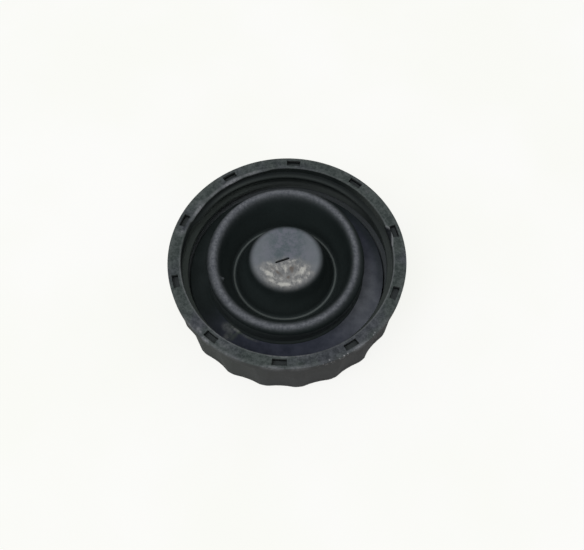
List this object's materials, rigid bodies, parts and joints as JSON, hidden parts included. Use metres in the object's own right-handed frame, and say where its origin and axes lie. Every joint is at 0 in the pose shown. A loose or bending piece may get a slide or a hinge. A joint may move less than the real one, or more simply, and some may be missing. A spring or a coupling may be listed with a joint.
{
  "type": "screw cap",
  "caption": "Fluted screw cap with a right-hand inner thread, blind pockets in its rim and a folded rubber diaphragm with a slit post.",
  "frame": {"origin": "centre of the closed end, on the ground under the cap", "axes": "+Z out of the mouth along the thread's axis; +X and +Y to the right and away as in the picture"},
  "size_m": [0.052, 0.052, 0.0165],
  "materials": {
    "moulded_plastic": "dark grey glass-filled plastic, matt and scuffed",
    "black_rubber": "black rubber, satin on the folds and smeared on the flange"
  },
  "bodies": {
    "root": {"cap_shell": "moulded_plastic", "diaphragm": "black_rubber"}
  },
  "joints": []
}
